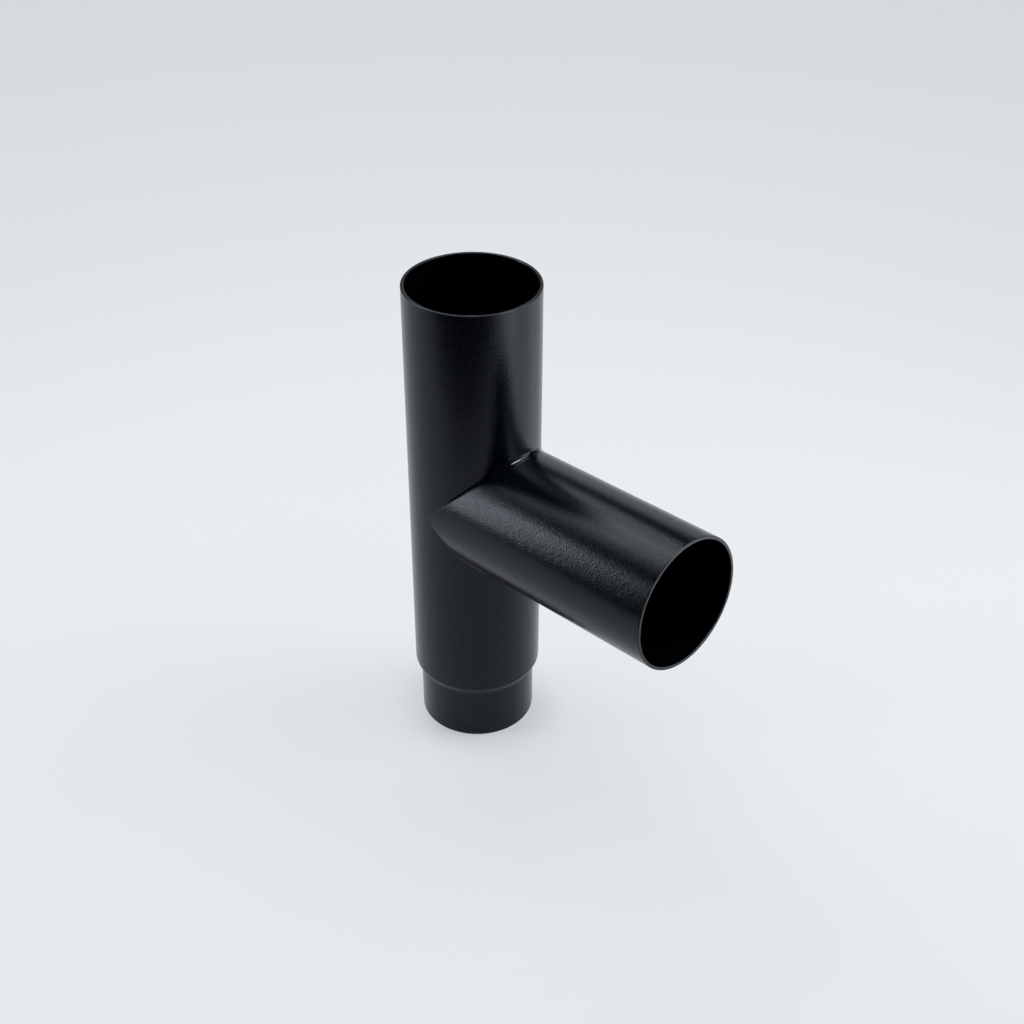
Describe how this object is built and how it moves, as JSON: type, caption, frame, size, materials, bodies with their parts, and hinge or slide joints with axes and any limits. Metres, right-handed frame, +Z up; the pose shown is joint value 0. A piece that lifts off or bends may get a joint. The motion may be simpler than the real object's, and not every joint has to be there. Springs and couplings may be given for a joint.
{
  "type": "downpipe branch",
  "caption": "Branch for a round downpipe: straight run with a reduced spigot at its foot and a side branch of the same pipe, mitred in and welded.",
  "frame": {"origin": "on the run's axis, in the plane of the spigot's end", "axes": "+Z up the run, from the spigot to the socket; +X towards the branch's mouth"},
  "size_m": [0.1985, 0.076, 0.292],
  "materials": {
    "powder_coat": "satin"
  },
  "bodies": {
    "root": {"run_pipe": "powder_coat", "branch_pipe": "powder_coat", "weld_fillet": "powder_coat"}
  },
  "joints": []
}
